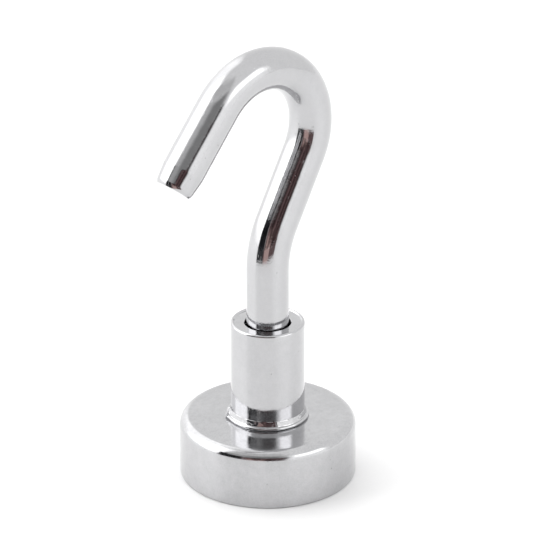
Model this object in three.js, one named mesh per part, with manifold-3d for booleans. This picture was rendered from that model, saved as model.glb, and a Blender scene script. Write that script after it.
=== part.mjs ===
// Pot magnet with a tall threaded bush and a swan-neck hook that screws into it.
//
// Units are millimetres and +Z is up the bush's axis. The origin is the centre of the magnet's face.
// The hook's rod is bent in the XZ plane, with its free leg on the -X side.

import * as THREE from 'three';
import { mergeVertices } from 'three/addons/utils/BufferGeometryUtils.js';
import Module from 'manifold-3d';

const wasm = await Module();
wasm.setup();

// ---- Driving dimensions ----

const SEAM_GAP = 0.02; // between neighbours that touch or are stuck together
const ROUND_SEGMENTS = 64; // round pieces of the pot
const BUSH_SEGMENTS = 48;
const ARC_STEPS = 5; // facets in a quarter of a rounded edge

const pot = {
  radius: 8,
  height: 5.55,
  wall: 1.3,
  floor: 1.5,
  edgeRadius: 0.95,
  rimChamfer: 0.15,
  innerFillet: 0.4,
  holeRadius: 2.5,
  countersink: 0.5,
};

const magnet = { radius: 6.3, edgeChamfer: 0.15, bondThickness: 0.15 };

const bush = {
  radius: 3.35,
  top: 14.9,
  topChamfer: 0.2,
  boreBottom: 6.4,
  mouthRadius: 2.2,
  mouthDepth: 1.2,
  dish: 0.2, // how far the top face falls from its rim to the mouth
};

const bead = { width: 0.48, height: 0.8, toeRadius: 0.26 };

// The male thread is M4: the female one is the same shape, larger by the clearances
const thread = {
  pitch: 0.7,
  crestRadius: 1.88, // just inside the rod, which is as wide as the thread
  depth: 0.38,
  crestWidth: 0.1,
  radialClearance: 0.07,
  axialClearance: 0.06,
  turns: 9,
  segmentsPerTurn: 20,
  endChamfer: 0.35,
};

const hook = {
  rodRadius: 1.925,
  rodSides: 22,
  pathSteps: 44,
  shankEndBottom: 6.75,
  threadBottom: 7.6,
  bendStart: 19.9,
  neckRadius: 9,
  neckTurn: THREE.MathUtils.degToRad(29.3),
  neckLength: 6.6,
  bowlRadius: 6.3,
  bowlTurn: THREE.MathUtils.degToRad(168.7),
  legLength: 8.2,
};

// ---- Dimensions worked out from the driving ones ----

const potFloorUnderside = pot.height - pot.floor;
const potInnerRadius = pot.radius - pot.wall;
const bondBottom = potFloorUnderside - SEAM_GAP - magnet.bondThickness;
const magnetTop = bondBottom - SEAM_GAP;
const threadRootRadius = thread.crestRadius - thread.depth;
const threadTop = hook.threadBottom + thread.turns * thread.pitch;
const boreRadius = threadRootRadius + thread.radialClearance;
const flankSlope = Math.tan(THREE.MathUtils.degToRad(30));

// ---- Solid helpers ----

// A solid of revolution about Z from a closed outline of [radius, height] points
function revolve(outline, segments) {
  const points = outline.map(([radius, height]) => new THREE.Vector2(radius, height));
  return new THREE.LatheGeometry(points, segments).rotateX(Math.PI / 2);
}

// Points of a rounded corner in a [radius, height] outline
function roundCorner(centre, radius, startAngle, endAngle) {
  const points = [];
  for (let step = 0; step <= ARC_STEPS; step += 1) {
    const angle = THREE.MathUtils.lerp(startAngle, endAngle, step / ARC_STEPS);
    points.push([centre[0] + radius * Math.cos(angle), centre[1] + radius * Math.sin(angle)]);
  }
  return points;
}

function toManifold(geometry) {
  const bare = geometry.clone();
  bare.deleteAttribute('normal');
  bare.deleteAttribute('uv');
  const merged = mergeVertices(bare);
  const corners = Array.from(merged.index.array);
  const triVerts = [];
  for (let first = 0; first < corners.length; first += 3) {
    const [a, b, c] = corners.slice(first, first + 3);
    if (a !== b && b !== c && c !== a) triVerts.push(a, b, c);
  }
  const vertProperties = merged.attributes.position.array;
  return new wasm.Manifold(new wasm.Mesh({ numProp: 3, vertProperties, triVerts: Uint32Array.from(triVerts) }));
}

function toGeometry(manifold) {
  const mesh = manifold.getMesh();
  const geometry = new THREE.BufferGeometry();
  geometry.setAttribute('position', new THREE.BufferAttribute(mesh.vertProperties, mesh.numProp));
  geometry.setIndex(new THREE.BufferAttribute(mesh.triVerts, 1));
  geometry.computeVertexNormals();
  return geometry;
}

// A right-handed helical ridge about Z. Its trapezoid section is centred on the helix and runs
// from an inner radius, where it is widest, out to the crest.
function helicalRidge({ innerRadius, crestRadius, crestWidth, bottom, turns }) {
  const baseWidth = crestWidth + 2 * (crestRadius - innerRadius) * flankSlope;
  const section = [
    [innerRadius, -baseWidth / 2],
    [crestRadius, -crestWidth / 2],
    [crestRadius, crestWidth / 2],
    [innerRadius, baseWidth / 2],
  ];
  const steps = Math.round(turns * thread.segmentsPerTurn);
  const positions = [];
  for (let step = 0; step <= steps; step += 1) {
    const turn = step / thread.segmentsPerTurn;
    const angle = 2 * Math.PI * turn;
    for (const [radius, height] of section) {
      positions.push(radius * Math.cos(angle), radius * Math.sin(angle), bottom + height + thread.pitch * turn);
    }
  }
  const count = section.length;
  const index = [];
  for (let step = 0; step < steps; step += 1) {
    for (let corner = 0; corner < count; corner += 1) {
      const here = step * count + corner;
      const beside = step * count + ((corner + 1) % count);
      index.push(here, here + count, beside + count, here, beside + count, beside);
    }
  }
  const last = steps * count;
  index.push(0, 1, 2, 0, 2, 3, last, last + 2, last + 1, last, last + 3, last + 2);
  const geometry = new THREE.BufferGeometry();
  geometry.setAttribute('position', new THREE.Float32BufferAttribute(positions, 3));
  geometry.setIndex(index);
  return geometry;
}

// ---- Pot: drawn steel cup, magnet disc, and the adhesives that hold it ----

function potShellGeometry() {
  const { radius, height, edgeRadius, rimChamfer, innerFillet, holeRadius, countersink } = pot;
  const topCorner = roundCorner([radius - edgeRadius, height - edgeRadius], edgeRadius, 0, Math.PI / 2);
  const insideCorner = roundCorner(
    [potInnerRadius - innerFillet, potFloorUnderside - innerFillet], innerFillet, Math.PI / 2, 0);
  return revolve([
    [potInnerRadius, 0],
    [radius - rimChamfer, 0],
    [radius, rimChamfer],
    ...topCorner,
    [holeRadius, height],
    [holeRadius, potFloorUnderside + countersink],
    [holeRadius + countersink, potFloorUnderside],
    ...insideCorner,
    [potInnerRadius, 0],
  ], ROUND_SEGMENTS);
}

function magnetDiscGeometry() {
  const { radius, edgeChamfer } = magnet;
  return revolve([
    [0, 0],
    [radius - edgeChamfer, 0],
    [radius, edgeChamfer],
    [radius, magnetTop - edgeChamfer],
    [radius - edgeChamfer, magnetTop],
    [0, magnetTop],
  ], ROUND_SEGMENTS);
}

function bondLayerGeometry() {
  const radius = magnet.radius - magnet.edgeChamfer;
  const top = bondBottom + magnet.bondThickness;
  return revolve([[0, bondBottom], [radius, bondBottom], [radius, top], [0, top]], ROUND_SEGMENTS);
}

// The resin fills the ring between magnet and wall, a little below the face
function resinRingGeometry() {
  const recess = 0.06;
  const inner = magnet.radius + SEAM_GAP;
  const outer = potInnerRadius - SEAM_GAP;
  const top = potFloorUnderside - pot.innerFillet;
  return revolve([[inner, recess], [outer, recess], [outer, top], [inner, top], [inner, recess]], ROUND_SEGMENTS);
}

// ---- Bush: turned steel, threaded inside, with a spigot flared into the pot's floor ----

function bushGeometry() {
  const { radius, top, topChamfer, boreBottom, mouthRadius, mouthDepth, dish } = bush;
  const spigotRadius = pot.holeRadius - SEAM_GAP;
  const body = toManifold(revolve([
    [0, potFloorUnderside],
    [spigotRadius + pot.countersink - SEAM_GAP, potFloorUnderside],
    [spigotRadius, potFloorUnderside + pot.countersink],
    [spigotRadius, pot.height + SEAM_GAP],
    [radius, pot.height + SEAM_GAP],
    [radius, top - topChamfer],
    [radius - topChamfer, top],
    [0, top],
  ], BUSH_SEGMENTS));
  // The top face falls a little to the mouth, and below that a 45 degree cone leads in to the thread
  const bore = toManifold(revolve([
    [0, boreBottom - boreRadius * flankSlope],
    [boreRadius, boreBottom],
    [boreRadius, top - mouthDepth - (mouthRadius - boreRadius)],
    [mouthRadius, top - mouthDepth],
    [mouthRadius, top - dish],
    [radius - topChamfer, top],
    [radius - topChamfer, top + 1],
    [0, top + 1],
  ], thread.segmentsPerTurn));
  // The groove lies on the hook's helix, so that the two threads are in mesh
  const grooveBottom = hook.threadBottom - thread.pitch;
  const groove = toManifold(helicalRidge({
    innerRadius: boreRadius - thread.radialClearance,
    crestRadius: thread.crestRadius + thread.radialClearance,
    crestWidth: thread.crestWidth + 2 * (thread.axialClearance - thread.radialClearance * flankSlope),
    bottom: grooveBottom,
    turns: Math.ceil((top - grooveBottom) / thread.pitch),
  }));
  return toGeometry(body.subtract(bore.add(groove)));
}

// The bright bead of weld metal round the foot of the bush: a rounded toe, and a slope up to the bush
function weldBeadGeometry() {
  const inner = bush.radius + SEAM_GAP;
  const bottom = pot.height + SEAM_GAP;
  const toeCentre = [inner + bead.width - bead.toeRadius, bottom + bead.toeRadius];
  return revolve([
    [inner, bottom],
    ...roundCorner(toeCentre, bead.toeRadius, -Math.PI / 2, Math.PI / 4),
    [inner, bottom + bead.height],
    [inner, bottom],
  ], BUSH_SEGMENTS);
}

// ---- Hook: one length of round rod, threaded at the foot ----

// A circular bend in the XZ plane
class Bend extends THREE.Curve {
  constructor(centre, radius, startAngle, turn) {
    super();
    Object.assign(this, { centre, radius, startAngle, turn });
  }

  getPoint(t, target = new THREE.Vector3()) {
    const angle = this.startAngle + this.turn * t;
    return target.set(Math.cos(angle), 0, Math.sin(angle)).multiplyScalar(this.radius).add(this.centre);
  }
}

// The rod's centre line from the top of the thread to the tip of the free leg
function hookCentreLine() {
  const path = new THREE.CurvePath();
  const end = new THREE.Vector3(0, 0, threadTop - thread.endChamfer);
  let heading = Math.PI / 2; // the direction of travel, from +X towards +Z

  const straight = (length) => {
    const start = end.clone();
    end.x += length * Math.cos(heading);
    end.z += length * Math.sin(heading);
    path.add(new THREE.LineCurve3(start, end.clone()));
  };
  // A positive turn swings the rod from +Z towards -X
  const bend = (radius, turn) => {
    const side = heading + Math.sign(turn) * Math.PI / 2;
    const centre = new THREE.Vector3(Math.cos(side), 0, Math.sin(side)).multiplyScalar(radius).add(end);
    const curve = new Bend(centre, radius, side + Math.PI, turn);
    path.add(curve);
    curve.getPoint(1, end);
    heading += turn;
  };

  straight(hook.bendStart - end.z);
  bend(hook.neckRadius, -hook.neckTurn);
  straight(hook.neckLength);
  bend(hook.bowlRadius, hook.bowlTurn);
  straight(hook.legLength);
  return path;
}

function bentRod() {
  const section = new THREE.Shape().absarc(0, 0, hook.rodRadius, 0, 2 * Math.PI);
  return new THREE.ExtrudeGeometry(section, {
    steps: hook.pathSteps,
    curveSegments: hook.rodSides / 2, // a full circle gets two facets per curve segment
    extrudePath: hookCentreLine(),
    bevelEnabled: false,
  });
}

function hookGeometry() {
  const { threadBottom } = hook;
  const { crestRadius, endChamfer, pitch } = thread;
  const core = toManifold(revolve([
    [0, threadBottom],
    [threadRootRadius, threadBottom],
    [threadRootRadius, threadTop],
    [0, threadTop],
  ], thread.segmentsPerTurn));
  const ridge = toManifold(helicalRidge({
    innerRadius: threadRootRadius - 0.05,
    crestRadius,
    crestWidth: thread.crestWidth,
    bottom: threadBottom - pitch,
    turns: thread.turns + 1,
  }));
  // The thread's first turn runs out in a chamfer, and its last one ends in the rod
  const envelope = toManifold(revolve([
    [0, threadBottom],
    [crestRadius - endChamfer, threadBottom],
    [crestRadius + 0.1, threadBottom + endChamfer + 0.1],
    [crestRadius + 0.1, threadTop],
    [0, threadTop],
  ], thread.segmentsPerTurn));
  return toGeometry(core.add(ridge.intersect(envelope)).add(toManifold(bentRod())));
}

// The plain round point of the shank, below the thread
function shankEndGeometry() {
  const radius = threadRootRadius - 0.05;
  const chamfer = 0.3;
  const top = hook.threadBottom - SEAM_GAP;
  return revolve([
    [0, hook.shankEndBottom],
    [radius - chamfer, hook.shankEndBottom],
    [radius, hook.shankEndBottom + chamfer],
    [radius, top],
    [0, top],
  ], thread.segmentsPerTurn);
}

// ---- Materials ----

const nickel = { color: 0xd2d2d0, metalness: 1, roughness: 0.2 };
const materials = {
  potNickel: new THREE.MeshStandardMaterial({ ...nickel, roughness: 0.28 }),
  bushNickel: new THREE.MeshStandardMaterial({ ...nickel, roughness: 0.24 }),
  hookNickel: new THREE.MeshStandardMaterial({ ...nickel, roughness: 0.12 }),
  weldMetal: new THREE.MeshStandardMaterial({ color: 0xc8c8c6, metalness: 1, roughness: 0.3 }),
  magnetPlating: new THREE.MeshStandardMaterial({ color: 0xbfc1c2, metalness: 1, roughness: 0.35 }),
  resin: new THREE.MeshStandardMaterial({ color: 0x2b2c2e, metalness: 0, roughness: 0.45 }),
};

// ---- Assembly ----

const group = new THREE.Group();

function addPiece(name, geometry, material) {
  const mesh = new THREE.Mesh(geometry, material);
  mesh.name = name;
  group.add(mesh);
}

addPiece('pot_shell', potShellGeometry(), materials.potNickel);
addPiece('magnet_disc', magnetDiscGeometry(), materials.magnetPlating);
addPiece('bond_layer', bondLayerGeometry(), materials.resin);
addPiece('resin_ring', resinRingGeometry(), materials.resin);
addPiece('threaded_bush', bushGeometry(), materials.bushNickel);
addPiece('weld_bead', weldBeadGeometry(), materials.weldMetal);
addPiece('hook', hookGeometry(), materials.hookNickel);
addPiece('shank_end', shankEndGeometry(), materials.hookNickel);

export default group;
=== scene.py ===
import math

import bmesh
import bpy
import numpy as np
from mathutils import Matrix, Vector, noise


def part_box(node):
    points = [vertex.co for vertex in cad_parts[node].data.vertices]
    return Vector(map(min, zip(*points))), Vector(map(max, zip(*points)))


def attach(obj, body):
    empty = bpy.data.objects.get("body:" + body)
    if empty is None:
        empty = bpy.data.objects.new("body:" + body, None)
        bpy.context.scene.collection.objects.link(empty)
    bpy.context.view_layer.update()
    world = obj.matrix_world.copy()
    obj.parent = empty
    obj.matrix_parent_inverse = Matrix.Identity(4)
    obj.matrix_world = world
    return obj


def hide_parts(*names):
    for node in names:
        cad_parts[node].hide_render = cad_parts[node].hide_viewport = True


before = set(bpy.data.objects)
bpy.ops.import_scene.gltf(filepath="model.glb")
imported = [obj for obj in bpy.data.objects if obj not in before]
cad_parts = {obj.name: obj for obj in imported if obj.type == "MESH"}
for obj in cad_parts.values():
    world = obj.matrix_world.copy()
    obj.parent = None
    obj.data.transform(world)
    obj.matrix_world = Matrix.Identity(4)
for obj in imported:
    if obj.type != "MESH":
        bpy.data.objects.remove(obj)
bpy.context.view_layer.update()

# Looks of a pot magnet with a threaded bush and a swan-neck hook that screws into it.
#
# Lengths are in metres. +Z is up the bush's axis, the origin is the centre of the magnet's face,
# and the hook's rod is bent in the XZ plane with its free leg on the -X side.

MM = 0.001
TAU = 2 * math.pi

# ---- Sizes that the frame gives ----

POT_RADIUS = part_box("pot_shell")[1].y
POT_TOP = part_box("pot_shell")[1].z
MAGNET_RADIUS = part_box("magnet_disc")[1].y
MAGNET_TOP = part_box("magnet_disc")[1].z
FLOOR_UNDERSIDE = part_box("threaded_bush")[0].z
BUSH_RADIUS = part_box("threaded_bush")[1].y
BUSH_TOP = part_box("threaded_bush")[1].z
BOND_LOW, BOND_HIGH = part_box("bond_layer")
RESIN_LOW, RESIN_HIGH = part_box("resin_ring")
BEAD_LOW, BEAD_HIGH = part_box("weld_bead")
ROD_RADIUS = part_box("hook")[1].y
THREAD_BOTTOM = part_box("hook")[0].z
POINT_LOW, POINT_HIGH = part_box("shank_end")

# ---- Sizes of the hook's bends and of the thread ----

BEND_START = 19.9 * MM
NECK_RADIUS = 9 * MM
NECK_TURN = math.radians(29.3)
NECK_LENGTH = 6.6 * MM
BOWL_RADIUS = 6.3 * MM
BOWL_TURN = math.radians(168.7)
LEG_LENGTH = 8.2 * MM

PITCH = 0.7 * MM
THREAD_DEPTH = 0.38 * MM
THREAD_CREST_WIDTH = 0.1 * MM
THREAD_CREST = 1.88 * MM
THREAD_TURNS = 9
THREAD_START_CHAMFER = 0.35 * MM
THREAD_RUNOUT = 0.5 * MM
FLANK_SLOPE = math.tan(math.radians(30))

# ---- How fine the meshes are ----

ROUND_COLUMNS = 240
BUSH_COLUMNS = 192
BEAD_COLUMNS = 400
ROD_COLUMNS = 128
POINT_COLUMNS = 96
ROWS_PER_TURN = 18
NEAR_AXIS = 0.05 * MM  # a flat end starts this far from the axis, and a fan closes the rest


# ---- Mesh helpers ----

def unevenness(point, size, depth):
    """A smooth random height of about depth, with bumps about as wide as size."""
    return depth * noise.noise(Vector(point) / size)


def round_place(angle, radius, height):
    """The point at an angle and a radius from the Z axis, at a height."""
    return (radius * math.cos(angle), radius * math.sin(angle), height)


def add_object(name, data):
    """A new object in the scene, with its mesh, camera or light."""
    obj = bpy.data.objects.new(name, data)
    bpy.context.scene.collection.objects.link(obj)
    return obj


def finish_mesh(obj, sharp_angle=35):
    """Smooth shading, with the edges that turn more than the angle kept sharp."""
    mesh = bmesh.new()
    mesh.from_mesh(obj.data)
    bmesh.ops.remove_doubles(mesh, verts=mesh.verts, dist=1e-8)
    bmesh.ops.recalc_face_normals(mesh, faces=mesh.faces)
    limit = math.radians(sharp_angle)
    for face in mesh.faces:
        face.smooth = True
    for edge in mesh.edges:
        edge.smooth = edge.calc_face_angle(0) < limit
    mesh.to_mesh(obj.data)
    mesh.free()
    return obj


def skin(name, rings, wrap=False, straight=None):
    """A closed mesh over rows of rings of points. The first and last rows either meet (wrap) or are
    closed by a fan round their middle point. straight holds the same rings as they were before the
    piece was bent, and is kept on the mesh for its material's grain."""
    rings = np.asarray(rings, float)
    rows, columns, _ = rings.shape
    points = [tuple(p) for p in rings.reshape(-1, 3)]
    faces = []
    for row in range(rows if wrap else rows - 1):
        here, above = row * columns, (row + 1) % rows * columns
        for column in range(columns):
            beside = (column + 1) % columns
            faces.append((here + column, here + beside, above + beside, above + column))
    if not wrap:
        for row, order in ((0, -1), (rows - 1, 1)):
            middle = len(points)
            points.append(tuple(rings[row].mean(axis=0)))
            start = row * columns
            for column in range(columns):
                edge = (start + column, start + (column + 1) % columns)[::order]
                faces.append((*edge, middle))
    mesh = bpy.data.meshes.new(name)
    mesh.from_pydata(points, [], faces)
    before = rings if straight is None else np.asarray(straight, float)
    places = list(before.reshape(-1, 3))
    if not wrap:
        places += [before[0].mean(axis=0), before[-1].mean(axis=0)]
    kept = mesh.attributes.new("straight", "FLOAT_VECTOR", "POINT")
    kept.data.foreach_set("vector", np.ravel(places))
    return finish_mesh(add_object(name, mesh))


def arc(centre, radius, start, end, steps=8):
    """Points of an arc in an outline of (radius, height); the angles are in degrees."""
    angles = np.radians(np.linspace(start, end, steps + 1))
    return [(centre[0] + radius * math.cos(a), centre[1] + radius * math.sin(a)) for a in angles]


def refine(outline, longest, closed=False):
    """The outline with its long stretches cut in equal steps, so that unevenness shows on them."""
    ends = outline[1:] + outline[:1] if closed else outline[1:]
    fine = []
    for start, end in zip(outline, ends):
        steps = max(1, math.ceil(math.dist(start, end) / longest))
        fine += [tuple(np.add(start, np.subtract(end, start) * i / steps)) for i in range(steps)]
    return fine if closed else fine + [outline[-1]]


def turned(name, outline, uneven=None, closed=False, columns=ROUND_COLUMNS):
    """A piece of revolution about Z. uneven(angle, radius, height) gives (outwards, up) moves."""
    rings = []
    for radius, height in outline:
        ring = []
        for angle in np.linspace(0, TAU, columns, endpoint=False):
            out, up = uneven(angle, radius, height) if uneven else (0, 0)
            ring.append(round_place(angle, max(radius + out, 0), height + up))
        rings.append(ring)
    return skin(name, rings, wrap=closed)


def thread_height(angle, height, start):
    """How far the thread stands out from its root: a trapezoid that winds right-handed up Z."""
    turns = (height - start) / PITCH - angle / TAU
    off_centre = abs((turns + 0.5) % 1 - 0.5) * PITCH
    flank = THREAD_DEPTH - (off_centre - THREAD_CREST_WIDTH / 2) / FLANK_SLOPE
    return min(max(flank, 0), THREAD_DEPTH)


# ---- Node helpers ----

class Graph:
    """A node tree. Each call adds one node and gives back one of its output sockets."""

    def __init__(self, tree):
        self.tree = tree
        tree.nodes.clear()

    def add(self, kind, inputs=None, output=0, **settings):
        made = self.tree.nodes.new(kind)
        for name, value in settings.items():
            setattr(made, name, value)
        for key, value in (inputs or {}).items():
            if isinstance(value, bpy.types.NodeSocket):
                self.tree.links.new(value, made.inputs[key])
            else:
                made.inputs[key].default_value = value
        return made.outputs[output] if made.outputs else None

    def math(self, operation, *values):
        return self.add("ShaderNodeMath", dict(enumerate(values)), operation=operation)

    def scaled(self, vector, factor):
        return self.add("ShaderNodeVectorMath", {0: vector, "Scale": factor}, operation="SCALE")

    def swing(self, value, amount, middle):
        """The middle, moved up and down by the amount as a noise value runs from 0 to 1."""
        return self.math("MULTIPLY_ADD", self.math("SUBTRACT", value, 0.5), amount, middle)

    def step(self, value, low, high, bottom=0.0, top=1.0):
        """A smooth step from bottom, at low, to top, at high."""
        inputs = {"Value": value, "From Min": low, "From Max": high, "To Min": bottom, "To Max": top}
        return self.add("ShaderNodeMapRange", inputs, interpolation_type="SMOOTHSTEP")

    def noise(self, vector, per_mm, detail=2.0, roughness=0.5):
        """Smooth noise with so many bumps to the mm."""
        inputs = {"Vector": vector, "Scale": per_mm / MM, "Detail": detail, "Roughness": roughness}
        return self.add("ShaderNodeTexNoise", inputs)

    def pits(self, vector, per_mm, start, end):
        """Round spots: 1 in the middle of each, and 0 outside."""
        cells = self.add("ShaderNodeTexVoronoi", {"Vector": vector, "Scale": per_mm / MM})
        return self.step(cells, start, end, 1.0, 0.0)

    def mix(self, factor, a, b):
        """A blend of two colours."""
        inputs = {"Factor": factor, 6: a, 7: b}
        return self.add("ShaderNodeMix", inputs, output=2, data_type="RGBA")


def rgb(red, green, blue):
    return (red, green, blue, 1.0)


def straight_place(graph):
    """Where a point of the surface was before the piece was bent."""
    return graph.add("ShaderNodeAttribute", output="Vector", attribute_name="straight")


def object_place(graph):
    """Where a point of the surface is on its own object."""
    return graph.add("ShaderNodeTexCoord", output="Object")


def new_material(name):
    """An empty material and the graph that builds its nodes."""
    material = bpy.data.materials.new(name)
    material.use_nodes = True
    return material, Graph(material.node_tree)


def principled(graph, **inputs):
    """The material's one shader. An underscore in an input's name stands for a space."""
    named = {name.replace("_", " "): value for name, value in inputs.items()}
    surface = graph.add("ShaderNodeBsdfPrincipled", named)
    graph.add("ShaderNodeOutputMaterial", {"Surface": surface})


# ---- Materials ----

NICKEL = (0.51, 0.51, 0.52)


def metal(name, roughness, grain, grain_depth, mottle, ripple, colour=NICKEL, anisotropic=0.0):
    """Plated metal: uneven tone, satin patches, fine grain lines, scratches, pits and slow ripples.

    grain is (across the axis, along the axis) in lines per mm, and grain_depth and ripple are the
    heights of the lines and of the ripples in thousandths of a mm. mottle is how uneven the tone
    and the roughness are."""
    material, graph = new_material(name)
    place = straight_place(graph)
    across, along = grain

    patches = graph.noise(place, 0.4, detail=3.0)
    cloud = graph.noise(place, 1.6, detail=4.0, roughness=0.65)
    speckle = graph.noise(place, 7.0, detail=2.0, roughness=0.6)
    line_place = graph.add("ShaderNodeMapping", {"Vector": place, "Scale": (across, across, along)})
    lines = graph.noise(line_place, 1.0, detail=2.0)
    scratch_place = graph.add("ShaderNodeMapping", {
        "Vector": place, "Rotation": (0.5, 0.9, 0.3), "Scale": (0.6, 9.0, 1.6)})
    scratches = graph.step(graph.noise(scratch_place, 1.0, detail=1.0), 0.68, 0.74)
    pits = graph.pits(place, 0.8, 0.03, 0.06)
    stain = graph.math("MULTIPLY", graph.math("ADD", patches, cloud), 0.5)

    tone = graph.swing(stain, mottle, 1.0)
    tone = graph.swing(speckle, mottle * 0.7, tone)
    tone = graph.math("MULTIPLY_ADD", pits, -0.35, tone)
    shade = graph.scaled(colour, tone)

    rough = graph.swing(stain, mottle * -0.8, roughness)
    rough = graph.swing(lines, mottle * 0.3, rough)
    rough = graph.math("MULTIPLY_ADD", scratches, 0.06, rough)
    rough = graph.math("MULTIPLY_ADD", pits, 0.2, rough)
    rough = graph.math("MAXIMUM", rough, 0.03)

    height = graph.math("MULTIPLY", graph.noise(place, 0.9, detail=1.0), ripple)
    height = graph.math("MULTIPLY_ADD", lines, grain_depth, height)
    height = graph.math("MULTIPLY_ADD", speckle, grain_depth * 0.3, height)
    height = graph.math("MULTIPLY_ADD", scratches, grain_depth * -0.8, height)
    height = graph.math("MULTIPLY_ADD", pits, -2.0, height)
    bump = graph.add("ShaderNodeBump", {"Height": height, "Distance": 0.001 * MM, "Strength": 1.0})

    streaks = {}
    if anisotropic:
        round_the_axis = graph.add("ShaderNodeTangent", direction_type="RADIAL", axis="Z")
        streaks = {"Anisotropic": anisotropic, "Anisotropic_Rotation": 0.25, "Tangent": round_the_axis}
    principled(graph, Base_Color=shade, Metallic=1.0, Roughness=rough, Normal=bump, **streaks)
    return material


def resin(name):
    """Dark cured epoxy with a slightly wavy skin and a few fine bubbles."""
    material, graph = new_material(name)
    place = object_place(graph)
    cloud = graph.noise(place, 1.2, detail=3.0)
    bubbles = graph.pits(place, 2.5, 0.05, 0.12)
    colour = graph.mix(cloud, rgb(0.018, 0.018, 0.020), rgb(0.05, 0.05, 0.055))
    rough = graph.math("MULTIPLY_ADD", cloud, 0.25, 0.3)
    height = graph.math("SUBTRACT", cloud, bubbles)
    bump = graph.add("ShaderNodeBump", {"Height": height, "Distance": 0.02 * MM, "Strength": 0.6})
    principled(graph, Base_Color=colour, Roughness=rough, Normal=bump)
    return material


def matt(name, colour, roughness=0.9, gloss=0.1):
    """Paper or card, with a faint cloud of fibres."""
    material, graph = new_material(name)
    fibres = graph.noise(object_place(graph), 1.5, detail=4.0)
    shade = graph.mix(fibres, rgb(*(0.98 * c for c in colour)), rgb(*colour))
    principled(graph, Base_Color=shade, Roughness=roughness, Specular_IOR_Level=gloss)
    return material


POT_NICKEL = metal("pot_nickel", 0.12, (5.0, 0.5), 0.7, 0.36, 9.0)
BUSH_NICKEL = metal("bush_nickel", 0.075, (0.6, 12.0), 0.4, 0.22, 4.0, anisotropic=0.3)
HOOK_NICKEL = metal("hook_nickel", 0.085, (2.5, 14.0), 3.0, 0.14, 10.0)
BEAD_NICKEL = metal("bead_nickel", 0.12, (4.0, 4.0), 2.0, 0.36, 8.0)
MAGNET_NICKEL = metal("magnet_nickel", 0.24, (3.0, 3.0), 1.0, 0.20, 3.0, colour=(0.50, 0.495, 0.49))
RESIN = resin("dark_resin")


def dress(obj, material, body, slot, *nodes):
    """Gives a finished piece its material and its body, and hides the CAD nodes that it stands for."""
    obj.data.materials.append(material)
    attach(obj, body)
    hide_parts(*nodes)
    return obj


# ---- Pot ----

def make_pot():
    """The drawn cup: rounded top edge, slightly wavy wall, small rounded rim, open below."""
    edge, rim, inside = 0.95 * MM, 0.15 * MM, 0.4 * MM  # the radii of its rounded corners
    wall, hole, sink = 1.3 * MM, 2.5 * MM, 0.5 * MM
    inner = POT_RADIUS - wall
    outline = [
        *arc((inner + rim, rim), rim, 180, 270, 4),
        *arc((POT_RADIUS - rim, rim), rim, 270, 360, 5),
        *arc((POT_RADIUS - edge, POT_TOP - edge), edge, 0, 90, 20),
        (hole, POT_TOP),
        (hole, FLOOR_UNDERSIDE + sink),
        (hole + sink, FLOOR_UNDERSIDE),
        *arc((inner - inside, FLOOR_UNDERSIDE - inside), inside, 90, 0, 6),
    ]

    def uneven(angle, radius, height):
        if height < rim / 2 or radius < inner - inside:
            return 0, 0
        place = round_place(angle, radius, height)
        slow = unevenness(place, 3.2 * MM, 0.007 * MM)
        quick = unevenness(place, 1.1 * MM, 0.0015 * MM)
        dent = abs(slow + quick)
        return -dent, -dent if height > POT_TOP - rim else 0

    return turned("pot_body", refine(outline, 0.3 * MM, closed=True), uneven, closed=True)


def make_magnet():
    """The plated disc, with both its edges rounded."""
    edge = 0.15 * MM
    outline = [
        (NEAR_AXIS, 0),
        (MAGNET_RADIUS - edge, 0),
        *arc((MAGNET_RADIUS - edge, edge), edge, 290, 360, 4),
        *arc((MAGNET_RADIUS - edge, MAGNET_TOP - edge), edge, 0, 90, 4),
        (NEAR_AXIS, MAGNET_TOP),
    ]
    return turned("magnet", refine(outline, 0.5 * MM))


def make_bond():
    """The thin layer of adhesive between the magnet and the pot's floor."""
    radius = BOND_HIGH.y
    return turned("bond", [(NEAR_AXIS, BOND_LOW.z), (radius, BOND_LOW.z),
                           (radius, BOND_HIGH.z), (NEAR_AXIS, BOND_HIGH.z)])


def make_resin():
    """The resin ring: its lower face sags between magnet and wall like a cured liquid."""
    inner, outer = MAGNET_RADIUS + 0.02 * MM, RESIN_HIGH.y
    sag, lower_part = 0.1 * MM, 1 * MM
    outline = [(inner + (outer - inner) * across, RESIN_LOW.z + sag * math.sin(math.pi * across))
               for across in np.linspace(0, 1, 7)]
    outline += [(outer, RESIN_HIGH.z), (inner, RESIN_HIGH.z)]

    def uneven(angle, radius, height):
        place = round_place(angle, radius, height)
        return 0, abs(unevenness(place, 0.8 * MM, 0.05 * MM)) if height < lower_part else 0

    return turned("resin", outline, uneven, closed=True)


# ---- Bush and bead ----

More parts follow.
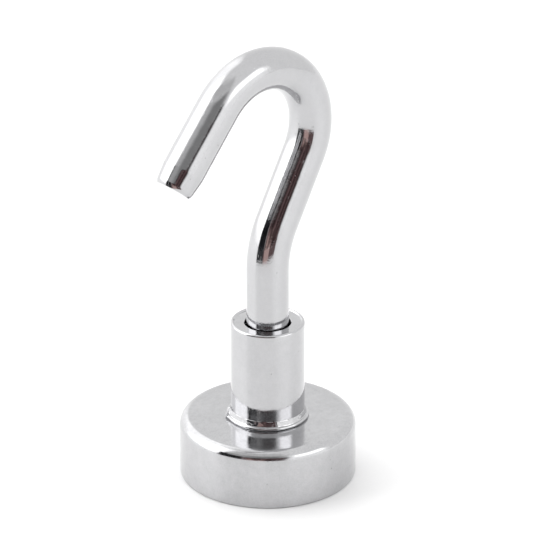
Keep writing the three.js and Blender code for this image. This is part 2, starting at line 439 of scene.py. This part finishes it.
def make_bush():
    """The turned bush: a rounded top edge that stands as a low rim round the level face, a plain
    mouth, a helical thread, and a spigot flared under the pot's floor."""
    spigot, sink = 2.48 * MM, 0.48 * MM
    foot = BEAD_LOW.z
    edge, rim_width, rim_height = 0.2 * MM, 0.34 * MM, 0.12 * MM
    mouth, mouth_depth, mouth_chamfer = 2.15 * MM, 1.2 * MM, 0.06 * MM
    plain_bore = mouth - mouth_chamfer
    root = THREAD_CREST - THREAD_DEPTH + 0.07 * MM
    cone_top = BUSH_TOP - mouth_depth
    cone_bottom = cone_top - (plain_bore - root)
    bore_bottom = 6.4 * MM
    mark_width, mark_height = 0.25 * MM, 0.0012 * MM
    outline = refine([
        (NEAR_AXIS, FLOOR_UNDERSIDE),
        (spigot + sink, FLOOR_UNDERSIDE),
        (spigot, FLOOR_UNDERSIDE + sink),
        (spigot, foot),
        (BUSH_RADIUS, foot),
        *arc((BUSH_RADIUS - edge, BUSH_TOP - edge), edge, 0, 105, 14),
    ], 0.35 * MM)
    face = BUSH_TOP - rim_height
    outline += refine([(BUSH_RADIUS - rim_width, face), (mouth, face)], 0.03 * MM)
    outline += refine([(plain_bore, face - mouth_chamfer), (plain_bore, cone_top)], 0.2 * MM)
    thread_rows = round((cone_top - bore_bottom) / PITCH * ROWS_PER_TURN)
    for height in np.linspace(cone_top, bore_bottom, thread_rows)[1:]:
        outline.append((max(root, root + height - cone_bottom), height))
    outline.append((NEAR_AXIS, bore_bottom - root * FLANK_SLOPE))

    def uneven(angle, radius, height):
        if bore_bottom < height < cone_top and radius < plain_bore:
            groove = root + thread_height(angle, height, THREAD_BOTTOM) + 0.02 * MM
            fade = min(max((height - bore_bottom) / PITCH, 0), 1)
            return max(groove * fade + root * (1 - fade) - radius, 0), 0
        place = round_place(angle, radius, height)
        if abs(height - face) < 0.01 * MM:
            wander = unevenness(place, 1.5 * MM, 0.1 * MM)
            return 0, mark_height * math.sin(TAU * (radius + wander) / mark_width)
        if radius > BUSH_RADIUS - edge / 2:
            return -abs(unevenness(place, 2.4 * MM, 0.004 * MM)), 0
        return 0, 0

    return turned("bush", outline, uneven, columns=BUSH_COLUMNS)


def make_bead():
    """The bead at the bush's foot: a small round toe, a steep slope up to the bush, and some lumps."""
    inner = BUSH_RADIUS + 0.005 * MM
    low, high = BEAD_LOW.z, BEAD_HIGH.z
    toe = 0.15 * MM
    toe_centre = (inner + 0.25 * MM, low + toe)
    lump_angle, lump_spread = math.radians(148), 0.16
    outline = refine([
        (inner, low),
        *arc(toe_centre, toe, -80, 110, 18),
        (inner + 0.16 * MM, low + 0.34 * MM),
        (inner + 0.03 * MM, high - 0.02 * MM),
        (inner, high),
    ], 0.06 * MM, closed=True)

    def uneven(angle, radius, height):
        if radius < inner + 0.01 * MM or height < low + 0.01 * MM:
            return 0, 0
        place = round_place(angle, radius, height)
        fine = unevenness(place, 0.3 * MM, 0.018 * MM)
        slow = unevenness(place, 1.4 * MM, 0.05 * MM)
        off_lumps = (angle - lump_angle + math.pi) % TAU - math.pi
        lumps = math.exp(-(off_lumps / lump_spread) ** 2)
        rough = unevenness(place, 0.35 * MM, 0.22 * MM)
        out = lumps * (0.12 * MM + rough) - abs(fine + slow)
        up = lumps * (0.1 * MM + rough) + fine * 0.5
        return out, up

    return turned("bead", outline, uneven, closed=True, columns=BEAD_COLUMNS)


# ---- Hook ----

def hook_stations():
    """Centre points and headings of the rod from the foot of the thread to the tip: (x, z, heading).

    The heading is the direction of travel, as an angle from +X towards +Z."""
    stations = []
    place, heading = np.array([0.0, THREAD_BOTTOM]), math.pi / 2
    step, tip_step, tip_length = 0.22 * MM, 0.06 * MM, 2 * MM
    thread_length = THREAD_TURNS * PITCH

    def straight(length, longest=step):
        nonlocal place
        count = max(1, math.ceil(length / longest))
        along = np.array([math.cos(heading), math.sin(heading)])
        stations.extend((*(place + along * length * i / count), heading) for i in range(count))
        place = place + along * length

    def bend(radius, turn):
        nonlocal place, heading
        side = heading + math.copysign(math.pi / 2, turn)
        centre = place + radius * np.array([math.cos(side), math.sin(side)])
        count = math.ceil(abs(turn) * radius / step)
        for i in range(count + 1):
            angle = side + math.pi + turn * i / count
            place = centre + radius * np.array([math.cos(angle), math.sin(angle)])
            if i < count:
                stations.append((*place, heading + turn * i / count))
        heading += turn

    straight(thread_length, PITCH / ROWS_PER_TURN)
    straight(BEND_START - THREAD_BOTTOM - thread_length)
    bend(NECK_RADIUS, -NECK_TURN)
    straight(NECK_LENGTH)
    bend(BOWL_RADIUS, BOWL_TURN)
    straight(LEG_LENGTH - tip_length)
    straight(tip_length, tip_step)
    stations.append((*place, heading))
    return stations


def tip_reduction(left):
    """How much thinner the rod is at a distance from its tip: a pressed taper, then a round edge."""
    taper_length, taper_slope = 1.9 * MM, 0.12
    edge_length, edge_depth = 0.45 * MM, 0.12 * MM
    taper = taper_slope * max(0.0, taper_length - left)
    rounding = edge_depth * max(0.0, 1 - left / edge_length) ** 2
    return taper + rounding


def make_hook():
    """The bent rod: a threaded foot with a chamfered start and a run-out, and a tapered tip."""
    stations = hook_stations()
    points = np.array([(x, 0, z) for x, z, _ in stations])
    lengths = np.concatenate([[0], np.cumsum(np.linalg.norm(np.diff(points, axis=0), axis=1))])
    root = THREAD_CREST - THREAD_DEPTH
    thread_length = THREAD_TURNS * PITCH
    rings, straight = [], []
    for middle, (_, z, heading), length in zip(points, stations, lengths):
        in_plane = np.array([math.sin(heading), 0, -math.cos(heading)])
        thin = tip_reduction(lengths[-1] - length)
        cut = min(max((thread_length - length) / THREAD_RUNOUT, 0), 1)
        ring, straight_ring = [], []
        for angle in np.linspace(0, TAU, ROD_COLUMNS, endpoint=False):
            outward = in_plane * math.cos(angle) + np.array([0, math.sin(angle), 0])
            radius = ROD_RADIUS - thin
            if cut:
                radius -= cut * (radius - root - thread_height(angle, z, THREAD_BOTTOM))
                radius = min(radius, THREAD_CREST - THREAD_START_CHAMFER + length)
            else:
                radius -= abs(unevenness(middle + outward * radius, 2.6 * MM, 0.008 * MM))
            ring.append(middle + outward * radius)
            straight_ring.append((radius * math.cos(angle), radius * math.sin(angle), length))
        rings.append(ring)
        straight.append(straight_ring)
    return skin("bent_rod", rings, straight=straight)


def make_point():
    """The plain round point of the shank, below the thread."""
    radius, edge = POINT_HIGH.y, 0.3 * MM
    return turned("shank_point", [
        (NEAR_AXIS, POINT_LOW.z),
        *arc((radius - edge, POINT_LOW.z + edge), edge, 270, 360, 5),
        (radius, POINT_HIGH.z),
        (NEAR_AXIS, POINT_HIGH.z),
    ], columns=POINT_COLUMNS)


# ---- Camera ----

CAMERA_AZIMUTH = math.radians(-43)
CAMERA_ELEVATION = math.radians(25)
CAMERA_DISTANCE = 400 * MM
AIM_RIGHT = 0.7 * MM
AIM_HEIGHT = 19.35 * MM
FRAME_WIDTH = 49.25 * MM


def make_camera():
    """A long lens from front left and a little above, as the object is shown."""
    right = Vector((math.cos(CAMERA_AZIMUTH), math.sin(CAMERA_AZIMUTH), 0))
    back = Vector((math.sin(CAMERA_AZIMUTH) * math.cos(CAMERA_ELEVATION),
                   -math.cos(CAMERA_AZIMUTH) * math.cos(CAMERA_ELEVATION), math.sin(CAMERA_ELEVATION)))
    up = back.cross(right)
    data = bpy.data.cameras.new("camera")
    data.sensor_width = 36
    data.lens = data.sensor_width * CAMERA_DISTANCE / FRAME_WIDTH
    data.clip_start = 0.01
    data.clip_end = 20
    camera = add_object("camera", data)
    turn = Matrix((right, up, back)).transposed()
    aim = right * AIM_RIGHT + Vector((0, 0, AIM_HEIGHT))
    camera.matrix_world = Matrix.Translation(aim + back * CAMERA_DISTANCE) @ turn.to_4x4()
    bpy.context.scene.camera = camera


# ---- Studio ----

# The light tent, as panels on a sphere round the object, with their edges in degrees. Azimuth 0 is
# the side that the object is shown from, and a positive one lies to its right. Each panel covers
# those before it: a lamp at the left, one at the right, and grey cloth above the tent's opening.
# The room that shows through the opening comes last, and goes on below the horizon as cards.
TENT = (1.10, 1.10, 1.10)
BLACK = (0.022, 0.022, 0.025)
BROWN = (0.11, 0.069, 0.070)
TAN = (0.45, 0.31, 0.29)
LIGHT_PANELS = [
    # azimuths, elevations, soft edges (sideways, upwards), radiance
    ((-165, -62), (-8, 62), (8, 12), (1.5, 1.5, 1.5)),
    ((-165, -62), (20, 60), (8, 10), (1.9, 1.9, 1.9)),
    ((-122, -62), (8, 60), (9, 12), (3.2, 3.2, 3.2)),
    ((26, 80), (-8, 32), (6, 8), (1.45, 1.45, 1.45)),
    ((38, 78), (18, 36), (7, 6), (2.9, 2.9, 2.9)),
    ((-74, 30), (48, 76), (8, 10), (0.77, 0.77, 0.77)),
    ((-64, 22), (22, 47), (10, 5), (0.58, 0.58, 0.58)),
    ((-28, 22), (22, 47), (14, 5), (0.33, 0.33, 0.33)),
    ((-61, -56), (18, 36), (1, 2), (0.03, 0.03, 0.03)),
    ((-14, 27), (14, 27), (5, 1.5), BLACK),
]
ROOM_FOOT = -8
ROOM_PANELS = [
    # name, azimuths, top, soft edges, radiance
    ("black", (-66, -33), 27.2, (2, 1.2), BLACK),
    ("brown", (-33, 22), 25.2, (4, 1.2), BROWN),
    ("tan", (-28, -5), 11, (3, 6), TAN),
]


def panel_mask(graph, azimuth, elevation, azimuths, elevations, edges):
    """1 inside a panel and 0 outside it, with soft edges."""
    mask = None
    for value, (start, end), edge in zip((azimuth, elevation), (azimuths, elevations), edges):
        for middle, bottom, top in ((start, 0.0, 1.0), (end, 1.0, 0.0)):
            side = graph.step(value, middle - edge, middle + edge, bottom, top)
            mask = graph.math("MULTIPLY", mask, side) if mask else side
    return mask


def make_studio_light():
    """The tent's light, by direction. What the lens sees beyond the floor is plain white."""
    world = bpy.data.worlds.new("studio")
    bpy.context.scene.world = world
    world.use_nodes = True
    graph = Graph(world.node_tree)
    direction = graph.add("ShaderNodeTexCoord", output="Generated")
    turned_direction = graph.add("ShaderNodeVectorRotate", {
        "Vector": direction, "Axis": (0, 0, 1), "Angle": -CAMERA_AZIMUTH}, rotation_type="AXIS_ANGLE")
    right, away, up = graph.add("ShaderNodeSeparateXYZ", {"Vector": turned_direction}).node.outputs
    toward = graph.math("MULTIPLY", away, -1.0)
    azimuth = graph.math("DEGREES", graph.math("ARCTAN2", right, toward))
    elevation = graph.math("DEGREES", graph.math("ARCSINE", up))

    clutter = graph.add("ShaderNodeTexNoise", {"Vector": direction, "Scale": 7.0, "Detail": 3.0})
    clutter = graph.step(clutter, 0.42, 0.62, 0.4, 1.6)
    panels = [(*panel, rgb(*radiance)) for *panel, radiance in LIGHT_PANELS]
    panels += [(azimuths, (ROOM_FOOT, top), edges, graph.scaled(radiance, clutter))
               for _, azimuths, top, edges, radiance in ROOM_PANELS]
    colour = rgb(*TENT)
    for azimuths, elevations, edges, radiance in panels:
        mask = panel_mask(graph, azimuth, elevation, azimuths, elevations, edges)
        colour = graph.mix(mask, colour, radiance)

    tent = graph.add("ShaderNodeBackground", {"Color": colour, "Strength": 1.0})
    plain = graph.add("ShaderNodeBackground", {"Color": rgb(1, 1, 1), "Strength": 1.0})
    seen = graph.add("ShaderNodeLightPath", output="Is Camera Ray")
    both = graph.add("ShaderNodeMixShader", {0: seen, 1: tent, 2: plain})
    graph.add("ShaderNodeOutputWorld", {"Surface": both})


def make_card(name, azimuths, colour, height):
    """A card that lies in front on the floor, out of the lens's sight, and shows in the metal."""
    near, far = 108 * MM, 1400 * MM
    points = []
    for azimuth in np.radians(np.linspace(*azimuths, 25)) + CAMERA_AZIMUTH:
        toward = (math.sin(azimuth), -math.cos(azimuth))
        points += [(toward[0] * reach, toward[1] * reach, height) for reach in (near, far)]
    mesh = bpy.data.meshes.new(name)
    mesh.from_pydata(points, [], [(i, i + 1, i + 3, i + 2) for i in range(0, len(points) - 2, 2)])
    mesh.materials.append(matt(name, colour))
    card = add_object(name, mesh)
    card.visible_camera = False


def make_ceiling_light():
    """A wide soft light over the floor, which the metal doesn't mirror."""
    data = bpy.data.lights.new("ceiling", "AREA")
    data.shape = "DISK"
    data.size = 1.2
    data.energy = 1.6
    light = add_object("ceiling", data)
    light.location = (0, 0, 1)
    light.visible_camera = False
    light.visible_glossy = False


def make_floor():
    """A wide sheet of pale, slightly glossy paper."""
    half = 1500 * MM
    mesh = bpy.data.meshes.new("floor")
    mesh.from_pydata([(-half, -half, 0), (half, -half, 0), (half, half, 0), (-half, half, 0)],
                     [], [(0, 1, 2, 3)])
    mesh.materials.append(matt("paper", (0.90, 0.90, 0.90), roughness=0.45, gloss=0.5))
    add_object("floor", mesh)


# ---- Assembly ----

make_camera()
make_studio_light()
make_floor()
make_ceiling_light()
for layer, (panel_name, azimuths, _, _, shade) in enumerate(ROOM_PANELS, start=1):
    make_card(panel_name + "_card", azimuths, shade, 0.2 * MM * layer)
bpy.context.scene.view_settings.view_transform = "Standard"

dress(make_pot(), POT_NICKEL, "base", "pot_nickel", "pot_shell")
dress(make_magnet(), MAGNET_NICKEL, "base", "magnet_plating", "magnet_disc")
dress(make_bond(), RESIN, "base", "resin", "bond_layer")
dress(make_resin(), RESIN, "base", "resin", "resin_ring")
dress(make_bush(), BUSH_NICKEL, "base", "bush_nickel", "threaded_bush")
dress(make_bead(), BEAD_NICKEL, "base", "weld_metal", "weld_bead")
dress(make_hook(), HOOK_NICKEL, "hook", "hook_nickel", "hook")
dress(make_point(), HOOK_NICKEL, "hook_lifter", "hook_nickel", "shank_end")
